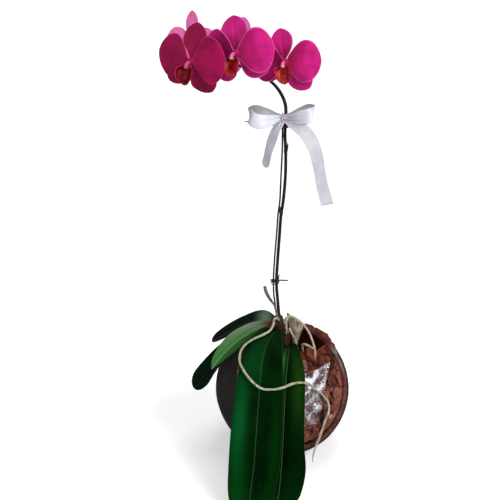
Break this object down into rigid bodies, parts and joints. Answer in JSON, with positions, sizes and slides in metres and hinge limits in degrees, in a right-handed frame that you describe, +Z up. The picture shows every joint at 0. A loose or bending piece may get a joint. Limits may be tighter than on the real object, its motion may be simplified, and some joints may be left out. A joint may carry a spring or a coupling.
{
  "type": "potted moth orchid",
  "caption": "Moth orchid in a bark-filled coconut-husk ball: strap leaves, aerial roots and a staked spike with a white satin bow and an arch of magenta blooms.",
  "frame": {"origin": "centre of the pot's flat foot, on the surface it stands on", "axes": "+Z up; -Y is the front, where the ball is open and the long leaves hang; +X is to the right seen from the front"},
  "size_m": [0.24, 0.2793, 0.5827],
  "materials": {
    "husk": "matte grey-brown coconut husk, fibrous red-brown inside",
    "bark": "rough red-brown bark chips",
    "clear_film": "clear crumpled film",
    "crown_brown": "brown stem with papery sheaths",
    "dry_sheath": "dry papery",
    "leaf_dark": "glossy dark green leaf",
    "leaf_pale": "satin light green leaf, reddish at its foot",
    "root_cream": "matte cream root",
    "spike_dark": "satin dark purple-brown stem",
    "stake_dark": "satin dark cane",
    "tie_green": "dark green coated wire",
    "tie_black": "black coated wire",
    "white_satin": "white satin ribbon",
    "petal_deep": "velvety deep magenta petal",
    "petal_magenta": "velvety magenta petal with a paler rim",
    "petal_back": "pale pink petal back",
    "lip_red": "deep red lip with yellow streaks",
    "column_pink": "waxy white-pink column"
  },
  "bodies": {
    "root": {"pot": "husk", "bark": "bark", "liner_film": "clear_film", "crown": "crown_brown", "dry_sheath": "dry_sheath", "leaf_front": "leaf_dark", "leaf_front_right": "leaf_dark", "leaf_left_pale": "leaf_pale", "leaf_left_high": "leaf_dark", "leaf_left_low": "leaf_dark", "root_long": "root_cream", "root_arching": "root_cream", "root_slant": "root_cream", "root_stub": "root_cream", "spike": "spike_dark", "stake": "stake_dark", "tie_lower": "tie_green", "tie_upper": "tie_black", "ribbon_bow": "white_satin", "bloom_left_petals": "petal_deep", "bloom_left_lip": "lip_red", "bloom_left_column": "column_pink", "bloom_middle_petals": "petal_magenta", "bloom_middle_lip": "lip_red", "bloom_middle_column": "column_pink", "bloom_right_petals": "petal_magenta", "bloom_right_lip": "lip_red", "bloom_right_column": "column_pink", "bloom_back_left_petals": "petal_back", "bloom_back_left_lip": "lip_red", "bloom_back_left_column": "column_pink", "bloom_back_middle_petals": "petal_back", "bloom_back_middle_lip": "lip_red", "bloom_back_middle_column": "column_pink"}
  },
  "joints": []
}
